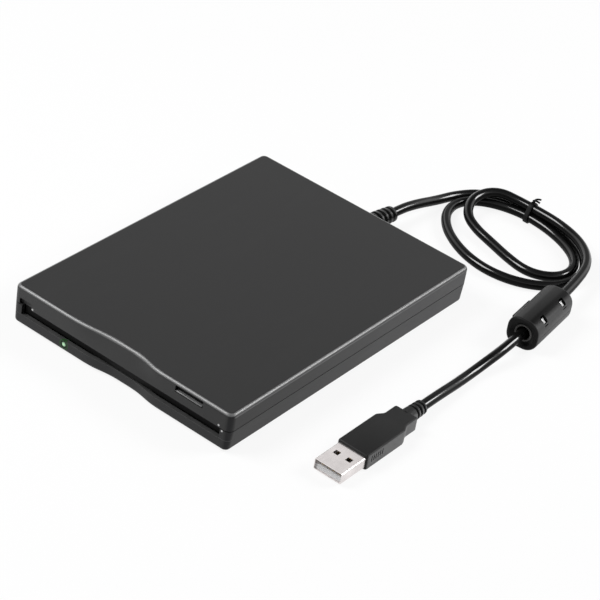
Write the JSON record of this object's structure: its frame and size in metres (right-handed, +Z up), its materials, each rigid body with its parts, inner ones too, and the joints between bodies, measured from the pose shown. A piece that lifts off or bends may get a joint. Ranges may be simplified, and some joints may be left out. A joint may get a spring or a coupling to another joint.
{
  "type": "external floppy disk drive",
  "caption": "Slim external floppy disk drive with a slot front, eject button, access lamp and captive lead with clamp and plug.",
  "frame": {"origin": "centre of the case's footprint, on the table its feet stand on", "axes": "+X to the right side seen from the front, +Y from the slot front to the lead at the back, +Z up"},
  "size_m": [0.1419, 0.2192, 0.0166],
  "materials": {
    "case_plastic": "fine texture, matte dark grey",
    "case_lower_plastic": "fine texture, matte dark grey",
    "black_plastic": "satin black",
    "button_plastic": "smooth black",
    "lead_rubber": "satin black jacket",
    "relief_rubber": "satin black, moulded ribs",
    "tie_plastic": "black nylon",
    "clamp_plastic": "semi-gloss black",
    "ferrite": "grey sintered ferrite",
    "foot_rubber": "matte",
    "steel_screw": "zinc plated",
    "sheet_steel": "galvanised sheet",
    "stainless": "ground",
    "spring_steel": "bright wire",
    "plug_steel": "nickel plated",
    "contact_gold": "gold flash",
    "white_nylon": "natural nylon",
    "plug_insulator": "white",
    "lamp_clear": "clear green",
    "board_green": "solder mask",
    "board_black": "black solder mask",
    "chip_epoxy": "black epoxy",
    "copper": "enamelled copper coils",
    "bronze": "sintered bronze",
    "magnet": "dark grey",
    "cast_alloy": "die cast",
    "head_ceramic": "polished",
    "ribbon": "white film"
  },
  "bodies": {
    "case": {"top_cover": "case_plastic", "bottom_cover": "case_lower_plastic", "rubber_feet": "foot_rubber", "case_screws": "steel_screw", "flap_spring": "spring_steel", "chassis_frame": "sheet_steel", "mechanism_cover": "sheet_steel", "chassis_screws": "steel_screw", "eject_springs": "spring_steel", "motor_board": "board_green", "motor_stator": "copper", "spindle_bearing": "bronze", "guide_rods": "stainless", "rod_clips": "black_plastic", "stepper_motor": "stainless", "screw_bracket": "sheet_steel", "track_sensor": "black_plastic", "controller_board": "board_green", "controller_chips": "chip_epoxy", "bridge_board": "board_green", "bridge_chips": "chip_epoxy", "ribbon_cable": "ribbon", "light_pipe": "lamp_clear", "lamp_board": "board_black", "strain_relief": "relief_rubber", "usb_lead": "lead_rubber", "lead_tie": "tie_plastic", "ferrite_base": "clamp_plastic", "ferrite_core_lower": "ferrite", "plug_overmold": "relief_rubber", "plug_shell": "plug_steel", "plug_tongue": "plug_insulator", "plug_contacts": "contact_gold"},
    "dust_flap": {"dust_flap": "black_plastic"},
    "eject_slide": {"slide_plate": "sheet_steel", "eject_button": "button_plastic"},
    "carrier": {"disk_carrier": "sheet_steel", "carrier_pins": "stainless", "lever_pivot_pin": "stainless", "lever_spring": "spring_steel"},
    "shutter_lever": {"shutter_lever": "white_nylon"},
    "spindle": {"spindle_rotor": "stainless", "rotor_magnet": "magnet", "spindle_shaft": "stainless", "drive_pin": "stainless"},
    "head_carriage": {"head_carriage": "cast_alloy", "lower_head": "head_ceramic", "arm_pivot_pin": "stainless", "screw_follower": "white_nylon"},
    "upper_arm": {"head_arm": "black_plastic", "upper_head": "head_ceramic"},
    "lead_screw": {"lead_screw": "stainless"},
    "ferrite_lid": {"ferrite_lid": "clamp_plastic", "ferrite_core_upper": "ferrite"}
  },
  "joints": [
    {"name": "flap_hinge", "type": "hinge", "parent": "case", "child": "dust_flap", "pos_m": [0, -0.0682, 0.0103], "axis": [1, 0, 0], "range_deg": [0, 95], "stiffness_Nm_per_rad": 0.0006, "springref_deg": -17.19},
    {"name": "eject_slide_travel", "type": "slide", "parent": "case", "child": "eject_slide", "axis": [0, -1, 0], "range_m": [0, 0.005]},
    {"name": "carrier_drop", "type": "slide", "parent": "case", "child": "carrier", "axis": [0, 0, -1], "range_m": [0, 0.0018]},
    {"name": "shutter_lever_swing", "type": "hinge", "parent": "carrier", "child": "shutter_lever", "pos_m": [-0.036, 0.02, 0.0102], "axis": [0, 0, 1], "range_deg": [0, 113], "stiffness_Nm_per_rad": 0.0006, "springref_deg": -11.46},
    {"name": "spindle_spin", "type": "hinge", "parent": "case", "child": "spindle", "pos_m": [0, -0.01, 0.003], "axis": [0, 0, 1], "continuous": true},
    {"name": "head_carriage_travel", "type": "slide", "parent": "case", "child": "head_carriage", "axis": [0, -1, 0], "range_m": [0, 0.015]},
    {"name": "upper_arm_lower", "type": "hinge", "parent": "head_carriage", "child": "upper_arm", "pos_m": [0, 0.05, 0.0115], "axis": [1, 0, 0], "range_deg": [0, 12]},
    {"name": "lead_screw_turn", "type": "hinge", "parent": "case", "child": "lead_screw", "pos_m": [0.021, 0.04, 0.007], "axis": [0, 1, 0], "range_deg": [0, 1800]},
    {"name": "ferrite_lid_hinge", "type": "hinge", "parent": "case", "child": "ferrite_lid", "pos_m": [0.07441, 0.07606, 0.00665], "axis": [0.1146, -0.9934, 0], "range_deg": [0, 110]}
  ],
  "couplings": [
    {"joint": "carrier_drop", "follows": "eject_slide_travel", "ratio": 0.36},
    {"joint": "upper_arm_lower", "follows": "eject_slide_travel", "rad_per_m": 41.888},
    {"joint": "lead_screw_turn", "follows": "head_carriage_travel", "rad_per_m": 2094.4}
  ]
}
